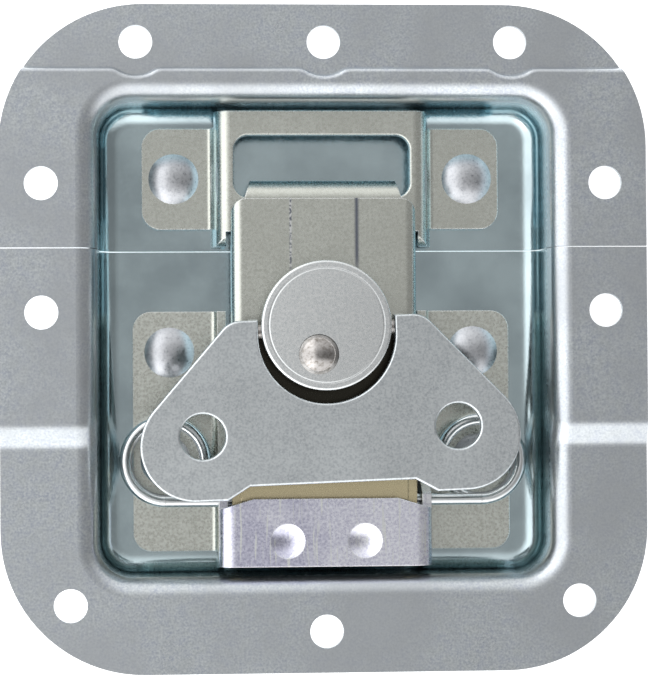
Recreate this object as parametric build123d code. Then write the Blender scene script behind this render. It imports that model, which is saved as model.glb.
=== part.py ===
from build123d import *
import os
from math import atan2, cos, degrees, pi, radians, sin, tan

# Recessed butterfly latch for a flight case, in a dish pressed as two halves.
# Millimetres. +Z points out of the case wall, +Y from the case body towards its lid.
# Heights below are taken from the top of the dish's floor; LIFT then puts the part on Z = 0.

# Sheet and running fits
SHEET = 1.2            # dish sheet
PLATE = 1.5            # keeper, bracket, carrier and handle sheet
RUN_GAP = 0.3          # air between pieces that pass each other
PIN_FIT = 0.06         # radial clearance of a pin in its hole

# Dish: a pocket with a flange round it, split along a seam between lid and body
POCKET_WIDTH = 73.6    # mouth of the pocket, across X
POCKET_HEIGHT = 77.0   # mouth of the pocket, across Y
POCKET_CORNER = 5.8
POCKET_DEPTH = 13.4    # from the flange's middle band to the floor
POCKET_DRAFT = 3.0     # degrees
RIM_RADIUS = 3.2       # flange into wall, on the face side
FLOOR_RADIUS = 3.0     # wall into floor, on the face side
FLANGE_MARGIN = 15.2   # from the pocket's mouth to the flange's edge
FLANGE_CORNER = 23.0
LID_POCKET = 24.0      # from the pocket's lid end to the seam
SEAM_GAP = 0.15

# The flange's middle band stands proud, to clear the case's edge extrusion
BAND_RISE = 1.5
LID_STEP_EDGE = 10.1   # from the flange's lid edge to the foot of the lid step
LID_STEP_RUN = 0.5     # how far the lid step slopes
LID_STEP_ROUND = 0.7   # on the step's upper edge
LID_STEP_RELIEF = 5.2  # radius of the step's relief round a rivet hole
BODY_STEP_Y = -14.0    # where the body step starts to fall
BODY_STEP_RUN = 3.4
STEP_BEND = 2.5        # bend radius of the body step

# Rivet holes in the flange
HOLE_RADIUS = 2.7
LID_HOLE_PITCH = 30.2
LID_HOLE_EDGE = 6.1
SIDE_HOLE_EDGE = 6.7
SIDE_HOLE_FROM_SEAM = 10.3
END_HOLE_EDGE = 6.6
CORNER_HOLE_EDGE = 6.2

# Domed rivets that hold the keeper and the bracket to the floor
RIVET_SHANK = 2.2
RIVET_HEAD = 4.1
RIVET_HEAD_RISE = 1.3
RIVET_TAIL = 3.3
RIVET_TAIL_RISE = 1.0
LIFT = SHEET + RIVET_TAIL_RISE

# Keeper on the lid half: a hat with a slot for the hook
KEEPER_HALF = 17.2     # outside of its side walls, at the top
KEEPER_LEAN = 0.8      # how far each side wall leans out towards its foot
KEEPER_RISE = 6.0
KEEPER_FOOT_HALF = 29.4
KEEPER_FOOT_LENGTH = 16.6
KEEPER_WALL_GAP = 1.3  # from its lid end to the pocket's mouth line
KEEPER_FOOT_INSET = 2.5
KEEPER_RAIL = 4.0      # from its lid end to the slot
KEEPER_SLOT_HALF = 14.4
KEEPER_SLOT_LENGTH = 10.1
KEEPER_SLOT_CORNER = 2.4
KEEPER_STRIP = 5.6     # the strip that the hook pulls on
KEEPER_SEAM_GAP = 0.6
KEEPER_TIP = 2.4       # round on the lower ends of its side walls
EDGE_SOFT = 0.3        # rounding of a pressed opening's upper edge
KEEPER_RIVET_X = 24.2
BEND = 1.0             # inside bend radius of the brackets
FOOT_CORNER = 3.0

# Bracket on the body half: two feet, two low walls and a cover over the hinge
BRACKET_HALF = 17.2
BRACKET_RISE = 12.2
BRACKET_FOOT_HALF = 31.0
BRACKET_WALL_GAP = 1.8  # from the cover's end to the pocket's mouth line
BRACKET_FOOT_INSET = 2.0
BRACKET_LENGTH = 41.3
BRACKET_LOW_WALL = 3.2
COVER_LENGTH = 10.9
COVER_CHAMFER_X = 5.6
COVER_CHAMFER_Y = 1.7
COVER_SLOPE = 4.3      # how far the walls fall from the cover to the low wall
DIMPLE_X = 6.2
DIMPLE_FROM_END = 4.1
DIMPLE_RADIUS = 2.75
DIMPLE_DEPTH = 1.0
BRACKET_RIVET_X = 25.0
BRACKET_RIVET_FROM_TOP = 6.7

# Hinge of the carrier, under the cover
HINGE_FROM_END = 5.8
HINGE_Z = 6.2
HINGE_RADIUS = 1.5
HINGE_EAR = 2.8
SWING_DEGREES = 12.0

# Carrier: a channel that holds the turret and guides the hook
CARRIER_SIDE_GAP = 0.7 # air between the bracket's walls and the carrier's, and again to the hook
CARRIER_TOP = 10.3
CARRIER_BEND = 1.8     # outside radius
CARRIER_CORNER = 2.6
CARRIER_KEEPER_GAP = 0.8
CARRIER_COVER_GAP = 1.8 # air left beside the cover when the carrier has swung out
TURRET_FROM_HINGE = 32.8
HUB_RADIUS = 8.5       # hole in the carrier

# Hook: a plate in the channel with its end rolled down
HOOK_PLATE = 1.8
HOOK_TIP_TAPER = 1.0   # how much narrower each side of the rolled end is
HOOK_ROLL = 3.2        # outside radius of the roll
HOOK_BITE = 0.9        # air between hook and strip at rest
HOOK_DEPTH = 1.2       # how far the hook reaches below the strip
HOOK_TAIL = 10.5       # from the crank's rest place to the plate's lower end

# Turret, crank and handle
HEAD_RADIUS = 10.4
HEAD_THICK = 1.8
HEAD_CROWN = 0.25      # how far the head's middle stands above its edge
NECK_RADIUS = 9.3
CRANK_THROW = 4.8
CRANK_ANGLE = 15.4     # degrees past dead centre at rest
CRANK_SHANK = 2.2
CRANK_DOME = 3.2
CRANK_DOME_RISE = 1.9
CRANK_TAIL_RISE = 0.9
WASHER_RADIUS = 6.4
WASHER_THICK = 1.1
TURN_DEGREES = 180.0
HANDLE_SKEW = 2.1      # degrees past square at rest
FLIP_PIN_RADIUS = 1.2
FLIP_EAR = 2.1
FLIP_PLATE_RISE = 1.3  # from the flip pin's axis to the handle's underside
FLIP_Y = -0.6          # flip pin from the turret's axis
NOTCH_RADIUS = 10.9
NOTCH_Y = -1.5
WING_X = 21.6
WING_Y = -18.4
WING_RADIUS = 8.8
WING_HEEL_X = 17.5     # the flat stretch beside the wing's round end
WING_HEEL_RADIUS = 5.0
SHOULDER_X = 13.7
SHOULDER_RADIUS = 4.0
SHOULDER_TOP = 1.3     # handle's upper edge from the turret's axis
RECESS_HALF = 13.2     # recess in the handle's lower edge
RECESS_MOUTH_HALF = 16.8
RECESS_DEPTH = 2.1
WING_HOLE_X = 20.4
WING_HOLE_Y = -16.9
WING_HOLE_RADIUS = 3.6
EDGE_ROUND = 0.4

# Spring: one wire with a coil at each side
WIRE_RADIUS = 1.0
COIL_X = 25.7
COIL_RADIUS = 6.5
COIL_FROM_HINGE = 11.1
COIL_TURNS = 1.75      # a quarter short, so that each leg starts beside the bracket's wall
LEG_RUN = 2.6          # how far a leg runs along that wall before it turns in
LEG_REACH = 1.0        # how far a leg reaches inside the carrier's wall
WIRE_AIR = 0.1         # between a coil and the foot below it
COIL_AIR = 0.05        # between one turn and the next

# Worked out from the values above
SEAM_Y = POCKET_HEIGHT / 2 - LID_POCKET
HALF_X = POCKET_WIDTH / 2 + FLANGE_MARGIN
HALF_Y = POCKET_HEIGHT / 2 + FLANGE_MARGIN
KEEPER_TOP_Y = POCKET_HEIGHT / 2 - KEEPER_WALL_GAP
SLOT_TOP_Y = KEEPER_TOP_Y - KEEPER_RAIL
SLOT_FOOT_Y = SLOT_TOP_Y - KEEPER_SLOT_LENGTH
STRIP_FOOT_Y = SLOT_FOOT_Y - KEEPER_STRIP
KEEPER_RIVET_Y = KEEPER_TOP_Y - KEEPER_FOOT_INSET - KEEPER_FOOT_LENGTH / 2
BRACKET_END_Y = BRACKET_WALL_GAP - POCKET_HEIGHT / 2
BRACKET_TOP_Y = BRACKET_END_Y + BRACKET_LENGTH
COVER_TOP_Y = BRACKET_END_Y + COVER_LENGTH
HINGE_Y = BRACKET_END_Y + HINGE_FROM_END
TURRET_Y = HINGE_Y + TURRET_FROM_HINGE
COIL_Y = HINGE_Y + COIL_FROM_HINGE
COIL_BOTTOM_Z = PLATE + WIRE_RADIUS + WIRE_AIR
COIL_PITCH = 2 * WIRE_RADIUS + COIL_AIR
COIL_TOP_Z = COIL_BOTTOM_Z + COIL_PITCH * COIL_TURNS
BAR_Y = COIL_Y - COIL_RADIUS
LEG_X = COIL_X - COIL_RADIUS
LEG_Y = COIL_Y - LEG_RUN
CARRIER_HALF = BRACKET_HALF - PLATE - CARRIER_SIDE_GAP
CARRIER_WALL_FOOT = COIL_BOTTOM_Z + WIRE_RADIUS + RUN_GAP
CARRIER_CEILING = CARRIER_TOP - PLATE
CARRIER_INNER = CARRIER_HALF - PLATE
HOOK_HALF = CARRIER_INNER - CARRIER_SIDE_GAP
HOOK_TIP_HALF = HOOK_HALF - HOOK_TIP_TAPER
HOOK_TOP = CARRIER_CEILING - RUN_GAP
HOOK_FOOT = HOOK_TOP - HOOK_PLATE
HOOK_FACE_Y = SLOT_FOOT_Y + HOOK_BITE + HOOK_PLATE
HOOK_ROLL_Y = HOOK_FACE_Y - HOOK_ROLL
HOOK_TIP_Z = KEEPER_RISE - PLATE - HOOK_DEPTH
CRANK_X = -CRANK_THROW * sin(radians(CRANK_ANGLE))
CRANK_Y = TURRET_Y - CRANK_THROW * cos(radians(CRANK_ANGLE))
HOOK_TRAVEL = 2 * (TURRET_Y - CRANK_Y)
FLIP_Z = CARRIER_TOP + RUN_GAP + FLIP_EAR
HANDLE_Z = FLIP_Z + FLIP_PLATE_RISE
HEAD_Z = HANDLE_Z + RUN_GAP
HEAD_EDGE_Z = HEAD_Z + HEAD_THICK
CRANK_SEAT_Z = HEAD_EDGE_Z + HEAD_CROWN * (1 - ((CRANK_THROW + CRANK_DOME) / HEAD_RADIUS) ** 2)
SWING = radians(SWING_DEGREES)
CARRIER_FOOT_Y = HINGE_Y + (COVER_TOP_Y + CARRIER_COVER_GAP - HINGE_Y
                            + (CARRIER_TOP - HINGE_Z) * sin(SWING)) / cos(SWING)


def block(x0, x1, y0, y1, z0, z1):
    """A box given by its limits."""
    return Pos((x0 + x1) / 2, (y0 + y1) / 2, (z0 + z1) / 2) * Box(x1 - x0, y1 - y0, z1 - z0)


def rod(radius, x0, x1, y, z):
    """A round rod along X."""
    return Pos((x0 + x1) / 2, y, z) * Rot(0, 90, 0) * Cylinder(radius, x1 - x0)


def post(radius, x, y, z0, z1):
    """A round post along Z."""
    return Pos(x, y, (z0 + z1) / 2) * Cylinder(radius, z1 - z0)


def mirrored(shape):
    """A shape together with its mirror image across X = 0."""
    return shape + mirror(shape, Plane.YZ)


def flange_holes():
    """Centres of the flange's rivet holes."""
    inner = FLANGE_CORNER - CORNER_HOLE_EDGE
    corner_x = HALF_X - FLANGE_CORNER + inner * cos(pi / 4)
    corner_y = HALF_Y - FLANGE_CORNER + inner * sin(pi / 4)
    side_x = HALF_X - SIDE_HOLE_EDGE
    lid = [(LID_HOLE_PITCH * step, HALF_Y - LID_HOLE_EDGE) for step in (-1, 0, 1)]
    side = [(s * side_x, SEAM_Y + t * SIDE_HOLE_FROM_SEAM) for s in (-1, 1) for t in (-1, 1)]
    end = [(-corner_x, -corner_y), (0, END_HOLE_EDGE - HALF_Y), (corner_x, -corner_y)]
    return lid, side, end


def pocket(wall):
    """The space inside the dish, made larger by a wall for its underside."""
    spread = 2 * wall
    floor = RectangleRounded(POCKET_WIDTH + spread, POCKET_HEIGHT + spread, POCKET_CORNER + wall)
    tool = extrude(Pos(0, 0, POCKET_DEPTH) * floor, -POCKET_DEPTH - wall, taper=POCKET_DRAFT)
    tool = fillet(tool.edges().group_by(Axis.Z)[0], FLOOR_RADIUS + wall)
    return tool + extrude(Pos(0, 0, POCKET_DEPTH) * floor, BAND_RISE)


def bend_shift(wall, run):
    """How far a step of the band moves on the sheet's other face, so that its slope is as thick."""
    return wall * tan(atan2(BAND_RISE, run) / 2)


def below_face(wall):
    """Everything below the dish's face, with wall = 0, or below its back, with wall = SHEET."""
    high = POCKET_DEPTH - wall
    low = high - BAND_RISE
    deep = -2 * POCKET_DEPTH
    step_y = BODY_STEP_Y + bend_shift(wall, BODY_STEP_RUN)
    side = FilletPolyline((-HALF_Y, low), (step_y - BODY_STEP_RUN, low), (step_y, high),
                          (HALF_Y, high), radius=STEP_BEND)
    edge = Polyline((HALF_Y, high), (HALF_Y, deep), (-HALF_Y, deep), (-HALF_Y, low))
    profile = Plane.YZ * make_face([*side.edges(), *edge.edges()])
    body = extrude(profile, HALF_X, both=True)
    body -= pocket(wall)
    rim = body.edges().filter_by(
        lambda e: low - 0.01 < e.center().Z < high + 0.01
        and abs(e.center().X) < POCKET_WIDTH / 2 + wall + 0.1
        and abs(e.center().Y) < POCKET_HEIGHT / 2 + wall + 0.1
        and not e.bounding_box().size.X > POCKET_WIDTH + 2 * wall)
    body = fillet(rim, RIM_RADIUS - wall) - lid_step(low, wall)
    if wall:
        return body
    crest = body.edges().filter_by(
        lambda e: abs(e.center().Z - high) < 0.01
        and POCKET_HEIGHT / 2 + RIM_RADIUS + 0.01 < e.center().Y < HALF_Y - 0.01
        and abs(e.center().X) < HALF_X - 0.01)
    return fillet(crest, LID_STEP_ROUND)


def lid_step(low, wall):
    """What the lid step takes off the band: a tapered cut with a relief round each rivet hole."""
    shift = bend_shift(wall, LID_STEP_RUN)
    step_y = HALF_Y - LID_STEP_EDGE - shift
    strip = Pos(0, step_y + HALF_Y / 2) * Rectangle(4 * HALF_X, HALF_Y)
    reliefs = [Pos(x, y) * Circle(LID_STEP_RELIEF + shift) for x, y in flange_holes()[0]]
    foot = strip + reliefs
    bend = foot.vertices().filter_by(lambda v: abs(v.Y - step_y) < 0.01 and abs(v.X) < HALF_X)
    foot = fillet(bend, LID_STEP_RELIEF / 2 - shift)
    slope = -degrees(atan2(LID_STEP_RUN, BAND_RISE))
    return extrude(Pos(0, 0, low) * foot, BAND_RISE, taper=slope)


def dish_halves():
    """The pressed sheet, trimmed, pierced and parted along the seam."""
    sheet = below_face(0) - below_face(SHEET)
    outline = RectangleRounded(2 * HALF_X, 2 * HALF_Y, FLANGE_CORNER)
    sheet &= extrude(Pos(0, 0, -POCKET_DEPTH) * outline, 3 * POCKET_DEPTH)
    for group in flange_holes():
        for x, y in group:
            sheet -= post(HOLE_RADIUS, x, y, 0, 2 * POCKET_DEPTH)
    for x, y in rivet_places().values():
        sheet -= post(RIVET_SHANK, x, y, -2 * SHEET, SHEET)
    deep = 2 * POCKET_DEPTH
    lid = sheet & block(-HALF_X, HALF_X, SEAM_Y + SEAM_GAP / 2, HALF_Y, -deep, deep)
    body = sheet & block(-HALF_X, HALF_X, -HALF_Y, SEAM_Y - SEAM_GAP / 2, -deep, deep)
    return lid, body


def rivet_places():
    """Where each domed rivet stands on the floor."""
    places = {}
    for side, name in ((-1, "left"), (1, "right")):
        places[f"keeper_rivet_{name}"] = (side * KEEPER_RIVET_X, KEEPER_RIVET_Y)
        upper = BRACKET_TOP_Y - BRACKET_RIVET_FROM_TOP
        places[f"bracket_rivet_{name}"] = (side * BRACKET_RIVET_X, upper)
        places[f"spring_rivet_{name}"] = (side * COIL_X, COIL_Y)
    return places


def dome(radius, rise):
    """A shallow domed head on Z = 0: a circular arc turned about Z."""
    ball = (radius ** 2 + rise ** 2) / (2 * rise)
    cap = Pos(0, 0, rise - ball) * Sphere(ball)
    return cap & post(radius, 0, 0, 0, rise)


def rivet():
    """A solid rivet through one foot and the floor, with its tail closed below."""
    shank = post(RIVET_SHANK, 0, 0, -SHEET, PLATE)
    tail = Pos(0, 0, -SHEET) * Rot(180, 0, 0) * dome(RIVET_TAIL, RIVET_TAIL_RISE)
    return shank + tail + Pos(0, 0, PLATE) * dome(RIVET_HEAD, RIVET_HEAD_RISE)


def hat(half, lean, rise, foot_half):
    """Section of a sheet hat across X: two feet, two walls that lean out, and a top."""
    top = rise - PLATE / 2
    wall = half - PLATE / 2
    line = FilletPolyline((-foot_half, PLATE / 2), (-wall - lean, PLATE / 2), (-wall, top), (wall, top),
                          (wall + lean, PLATE / 2), (foot_half, PLATE / 2), radius=BEND + PLATE / 2)
    return Plane.XZ * trace(line, PLATE)


def feet_trim(half, foot_half, y0, y1, low, high):
    """What is cut from a hat's feet beyond y0 and y1, with rounded foot corners."""
    tools = []
    for side in (-1, 1):
        limits = sorted((side * half, side * (foot_half + 1)))
        whole = block(*limits, low, high, -1, PLATE + BEND)
        foot = block(*sorted((side * (half - FOOT_CORNER * 2), side * foot_half)), y0, y1, -1, PLATE + BEND)
        corners = foot.edges().filter_by(Axis.Z).filter_by(
            lambda e, s=side: abs(e.center().X - s * foot_half) < 0.01)
        tools.append(whole - fillet(corners, FOOT_CORNER))
    return tools


def floor_bend(side):
    """The room that the dish's floor bend takes at the lid end (side = 1) or the body end (-1)."""
    flat = POCKET_HEIGHT / 2 - POCKET_DEPTH * tan(radians(POCKET_DRAFT)) - FLOOR_RADIUS
    limits = sorted((side * flat, side * HALF_Y))
    return block(-HALF_X, HALF_X, *limits, -1, FLOOR_RADIUS)


def keeper():
    """The lid half's hat, with a slot for the hook and rounded lower tips."""
    low_y = SEAM_Y + KEEPER_SEAM_GAP
    section = hat(KEEPER_HALF, KEEPER_LEAN, KEEPER_RISE, KEEPER_FOOT_HALF)
    body = Pos(0, KEEPER_TOP_Y, 0) * extrude(section, KEEPER_TOP_Y - low_y)
    foot_top = KEEPER_TOP_Y - KEEPER_FOOT_INSET
    body -= feet_trim(KEEPER_HALF + KEEPER_LEAN, KEEPER_FOOT_HALF, foot_top - KEEPER_FOOT_LENGTH, foot_top,
                      low_y - 1, KEEPER_TOP_Y + 1)
    inner = KEEPER_HALF - PLATE
    body -= block(-inner, inner, low_y - 1, STRIP_FOOT_Y, -1, 2 * KEEPER_RISE)
    tip = block(-KEEPER_FOOT_HALF, KEEPER_FOOT_HALF, low_y - 1, low_y + KEEPER_TIP,
                KEEPER_RISE - KEEPER_TIP, 2 * KEEPER_RISE)
    body -= tip - rod(KEEPER_TIP, -HALF_X, HALF_X, low_y + KEEPER_TIP, KEEPER_RISE - KEEPER_TIP)
    body -= floor_bend(1)
    for x in (-KEEPER_RIVET_X, KEEPER_RIVET_X):
        body -= post(RIVET_SHANK, x, KEEPER_RIVET_Y, -1, 2 * PLATE)
    slot = Pos(0, (SLOT_TOP_Y + SLOT_FOOT_Y) / 2) * RectangleRounded(
        2 * KEEPER_SLOT_HALF, KEEPER_SLOT_LENGTH, KEEPER_SLOT_CORNER)
    body -= extrude(slot, 2 * KEEPER_RISE)
    mouth = body.edges().filter_by(
        lambda e: abs(e.center().Z - KEEPER_RISE) < 0.01
        and abs(e.center().X) < KEEPER_SLOT_HALF + 0.01
        and SLOT_FOOT_Y - 0.01 < e.center().Y < SLOT_TOP_Y + 0.01)
    return fillet(mouth, EDGE_SOFT)


def bracket():
    """The body half's bracket: feet, low walls, and a cover over the carrier's hinge."""
    section = hat(BRACKET_HALF, 0, BRACKET_RISE, BRACKET_FOOT_HALF)
    body = Pos(0, BRACKET_TOP_Y, 0) * extrude(section, BRACKET_LENGTH)
    foot_end = BRACKET_END_Y + BRACKET_FOOT_INSET
    body -= feet_trim(BRACKET_HALF, BRACKET_FOOT_HALF, foot_end, BRACKET_TOP_Y,
                      BRACKET_END_Y - 1, BRACKET_TOP_Y + 1)
    above = 2 * BRACKET_RISE
    open_side = Plane.YZ * make_face(Polyline(
        (BRACKET_TOP_Y + 1, BRACKET_LOW_WALL), (COVER_TOP_Y + COVER_SLOPE, BRACKET_LOW_WALL),
        (COVER_TOP_Y, BRACKET_RISE - PLATE), (COVER_TOP_Y, above), (BRACKET_TOP_Y + 1, above), close=True))
    body -= extrude(open_side, BRACKET_HALF + 1, both=True)
    body -= floor_bend(-1)
    for name, (x, y) in rivet_places().items():
        if not name.startswith("keeper"):
            body -= post(RIVET_SHANK, x, y, -1, 2 * PLATE)
    body -= mirrored(cover_corner() + wall_openings())
    dimple_y = BRACKET_END_Y + DIMPLE_FROM_END
    for x in (-DIMPLE_X, DIMPLE_X):
        body += Pos(x, dimple_y, BRACKET_RISE - PLATE) * Rot(180, 0, 0) * dome(
            DIMPLE_RADIUS + PLATE / 2, DIMPLE_DEPTH)
        body -= Pos(x, dimple_y, BRACKET_RISE) * Rot(180, 0, 0) * dome(DIMPLE_RADIUS, DIMPLE_DEPTH)
    return body


def cover_corner():
    """What the right-hand corner of the cover's upper edge loses to its slanted cut."""
    corner = make_face(Polyline(
        (BRACKET_HALF, COVER_TOP_Y - COVER_CHAMFER_Y), (BRACKET_HALF - COVER_CHAMFER_X, COVER_TOP_Y),
        (BRACKET_HALF - COVER_CHAMFER_X, COVER_TOP_Y + 1), (BRACKET_HALF + 1, COVER_TOP_Y + 1),
        (BRACKET_HALF + 1, COVER_TOP_Y - COVER_CHAMFER_Y), close=True))
    return extrude(Pos(0, 0, BRACKET_RISE - PLATE - BEND) * corner, BRACKET_RISE)


def wall_openings():
    """Holes in the bracket's right-hand wall for the hinge pin, the spring's bar and its leg."""
    inside = BRACKET_HALF - 2 * PLATE
    outside = BRACKET_HALF + BEND
    way = WIRE_RADIUS + RUN_GAP
    leg = block(inside, outside, LEG_Y - way, LEG_Y + way, COIL_BOTTOM_Z - WIRE_RADIUS, COIL_BOTTOM_Z + way)
    pin = rod(HINGE_RADIUS, inside, outside, HINGE_Y, HINGE_Z)
    return leg + pin + rod(way, inside, outside, BAR_Y, COIL_TOP_Z)


def carrier():
    """The swinging channel: hinge ears below, the turret's hole, and a plain end over the keeper."""
    outer = Pos(0, (CARRIER_WALL_FOOT + CARRIER_TOP) / 2) * Rectangle(
        2 * CARRIER_HALF, CARRIER_TOP - CARRIER_WALL_FOOT)
    outer = fillet(outer.vertices().group_by(Axis.Y)[-1], CARRIER_BEND)
    inner = Pos(0, CARRIER_CEILING / 2) * Rectangle(2 * CARRIER_INNER, CARRIER_CEILING)
    inner = fillet(inner.vertices().group_by(Axis.Y)[-1], CARRIER_BEND - PLATE)
    top_y = HOOK_ROLL_Y
    body = Pos(0, top_y, 0) * extrude(Plane.XZ * (outer - inner), top_y - HINGE_Y)
    wide = CARRIER_HALF + 1
    ear_top = HINGE_Z + HINGE_EAR
    body -= block(-wide, wide, HINGE_Y - 1, CARRIER_FOOT_Y, ear_top, 2 * CARRIER_TOP)
    body -= block(-wide, wide, HINGE_Y - 1, CARRIER_FOOT_Y, CARRIER_CEILING, ear_top)
    body -= block(-wide, wide, STRIP_FOOT_Y - CARRIER_KEEPER_GAP, top_y + 1, 0, CARRIER_CEILING)
    body -= mirrored(end_corner(top_y))
    # The top steps down to a tongue that passes below the cover
    web = ear_top - PLATE
    body += block(-CARRIER_INNER, CARRIER_INNER, CARRIER_FOOT_Y, CARRIER_FOOT_Y + PLATE, web, CARRIER_TOP)
    body += block(-CARRIER_INNER, CARRIER_INNER, BAR_Y, CARRIER_FOOT_Y, web, ear_top)
    notch = 2 * WIRE_RADIUS
    body -= block(-wide, wide, BAR_Y - notch, BAR_Y + notch, 0, COIL_TOP_Z + WIRE_RADIUS + RUN_GAP)
    for side in (-1, 1):
        limits = sorted((side * CARRIER_HALF, side * CARRIER_INNER))
        body += rod(HINGE_EAR, *limits, HINGE_Y, HINGE_Z)
        body -= rod(HINGE_RADIUS + PIN_FIT, *limits, HINGE_Y, HINGE_Z)
    return body - post(HUB_RADIUS, 0, TURRET_Y, CARRIER_CEILING - 1, CARRIER_TOP + 1)


def end_corner(top_y):
    """The sliver outside the rounded right-hand corner of the carrier's lid end."""
    x = CARRIER_HALF - CARRIER_CORNER
    y = top_y - CARRIER_CORNER
    square = block(x, CARRIER_HALF, y, top_y, CARRIER_CEILING, CARRIER_TOP)
    return square - post(CARRIER_CORNER, x, y, 0, 2 * CARRIER_TOP)


def hook():
    """The sliding hook: a flat plate, a rolled end, and a cross slot for the crank."""
    tail_y = CRANK_Y - HOOK_TAIL
    roll_z = HOOK_TOP - HOOK_ROLL
    inner = HOOK_ROLL - HOOK_PLATE
    side = make_face([
        *Polyline((HOOK_ROLL_Y, HOOK_TOP), (tail_y, HOOK_TOP), (tail_y, HOOK_FOOT),
                  (HOOK_ROLL_Y, HOOK_FOOT)).edges(),
        CenterArc((HOOK_ROLL_Y, roll_z), inner, 0, 90),
        *Polyline((HOOK_ROLL_Y + inner, roll_z), (HOOK_ROLL_Y + inner, HOOK_TIP_Z),
                  (HOOK_FACE_Y, HOOK_TIP_Z), (HOOK_FACE_Y, roll_z)).edges(),
        CenterArc((HOOK_ROLL_Y, roll_z), HOOK_ROLL, 0, 90)])
    body = extrude(Plane.YZ * side, HOOK_HALF, both=True)
    plan = make_face(Polyline(
        (-HOOK_HALF, tail_y), (HOOK_HALF, tail_y), (HOOK_HALF, HOOK_ROLL_Y), (HOOK_TIP_HALF, HOOK_FACE_Y),
        (-HOOK_TIP_HALF, HOOK_FACE_Y), (-HOOK_HALF, HOOK_ROLL_Y), close=True))
    body &= extrude(plan, CARRIER_TOP)
    # The crank's true path bows away from the straight feed that the couplings give, so the slot has room
    reach = CRANK_SHANK + RUN_GAP
    lags = [crank_lag(angle) for angle in range(0, int(TURN_DEGREES) + 1, 5)]
    return body - block(CRANK_X - reach, CRANK_THROW + reach, CRANK_Y + min(lags) - reach,
                        CRANK_Y + max(lags) + reach, 0, CARRIER_TOP)


def crank_lag(angle):
    """How far the crank stands ahead of the hook's even feed, at a turn of the turret."""
    climb = -CRANK_THROW * cos(radians(angle - CRANK_ANGLE)) + TURRET_Y - CRANK_Y
    return climb - HOOK_TRAVEL * angle / TURN_DEGREES


def turret():
    """Head, neck and hub in one turned piece, drilled for the crank and the flip pin."""
    neck_z = CARRIER_TOP + RUN_GAP
    body = post(HUB_RADIUS - PIN_FIT, 0, TURRET_Y, CARRIER_CEILING, neck_z)
    body += post(NECK_RADIUS, 0, TURRET_Y, neck_z, HEAD_Z)
    head = post(HEAD_RADIUS, 0, TURRET_Y, HEAD_Z, HEAD_EDGE_Z)
    head += Pos(0, TURRET_Y, HEAD_EDGE_Z) * dome(HEAD_RADIUS, HEAD_CROWN)
    rim = head.edges().filter_by(lambda e: abs(e.center().Z - HEAD_EDGE_Z) < 0.01)
    body += fillet(rim, EDGE_ROUND)
    body -= post(CRANK_DOME, CRANK_X, CRANK_Y, CRANK_SEAT_Z, 2 * HEAD_Z)
    body -= post(CRANK_SHANK, CRANK_X, CRANK_Y, 0, 2 * HEAD_Z)
    return body - skewed(rod(FLIP_PIN_RADIUS, -HEAD_RADIUS, HEAD_RADIUS, FLIP_Y, FLIP_Z))


def skewed(shape):
    """Turns a piece of the handle from the turret's axis to where it rests."""
    return Pos(0, TURRET_Y, 0) * Rot(0, 0, HANDLE_SKEW) * shape


def crank_rivet():
    """The domed rivet that drives the hook, closed below its washer."""
    foot = HOOK_FOOT - RUN_GAP - WASHER_THICK
    body = post(CRANK_SHANK, 0, 0, foot, CRANK_SEAT_Z)
    body += Pos(0, 0, CRANK_SEAT_Z) * dome(CRANK_DOME, CRANK_DOME_RISE)
    body += post(CRANK_DOME, 0, 0, foot - CRANK_TAIL_RISE, foot)
    return Pos(CRANK_X, CRANK_Y, 0) * body


def crank_washer():
    """The washer that keeps the hook up on the crank."""
    top = HOOK_FOOT - RUN_GAP
    body = post(WASHER_RADIUS, 0, 0, top - WASHER_THICK, top)
    return Pos(CRANK_X, CRANK_Y, 0) * (body - post(CRANK_SHANK, 0, 0, 0, top + 1))


def handle():
    """The butterfly: a flat plate with two wings, notched for the turret, on two folded ears."""
    rounds = [(WING_X, WING_Y, WING_RADIUS), (SHOULDER_X, SHOULDER_TOP - SHOULDER_RADIUS, SHOULDER_RADIUS),
              (WING_HEEL_X, WING_Y - WING_RADIUS + WING_HEEL_RADIUS, WING_HEEL_RADIUS)]
    edges = [(Pos(side * x, y) * Circle(r)).edge() for side in (-1, 1) for x, y, r in rounds]
    outline = make_hull(edges)
    foot = WING_Y - WING_RADIUS
    recess = make_face(Polyline(
        (-RECESS_HALF, foot + RECESS_DEPTH), (RECESS_HALF, foot + RECESS_DEPTH), (RECESS_MOUTH_HALF, foot),
        (RECESS_MOUTH_HALF, foot - 1), (-RECESS_MOUTH_HALF, foot - 1), (-RECESS_MOUTH_HALF, foot), close=True))
    outline -= recess
    outline -= Pos(0, NOTCH_Y) * Circle(NOTCH_RADIUS)
    notch_top = SHOULDER_TOP + 1
    outline -= Pos(0, (NOTCH_Y + notch_top) / 2) * Rectangle(2 * NOTCH_RADIUS, notch_top - NOTCH_Y)
    for side in (-1, 1):
        outline -= Pos(side * WING_HOLE_X, WING_HOLE_Y) * Circle(WING_HOLE_RADIUS)
    plate = extrude(Pos(0, 0, HANDLE_Z) * outline, PLATE)
    body = fillet(plate.edges().group_by(Axis.Z)[-1], EDGE_ROUND)
    for side in (-1, 1):
        limits = sorted((side * NOTCH_RADIUS, side * (NOTCH_RADIUS + PLATE)))
        body += block(*limits, FLIP_Y - FLIP_EAR, SHOULDER_TOP, FLIP_Z, HANDLE_Z)
        body += rod(FLIP_EAR, *limits, FLIP_Y, FLIP_Z)
        body -= rod(FLIP_PIN_RADIUS + PIN_FIT, *limits, FLIP_Y, FLIP_Z)
    return skewed(body)


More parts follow.
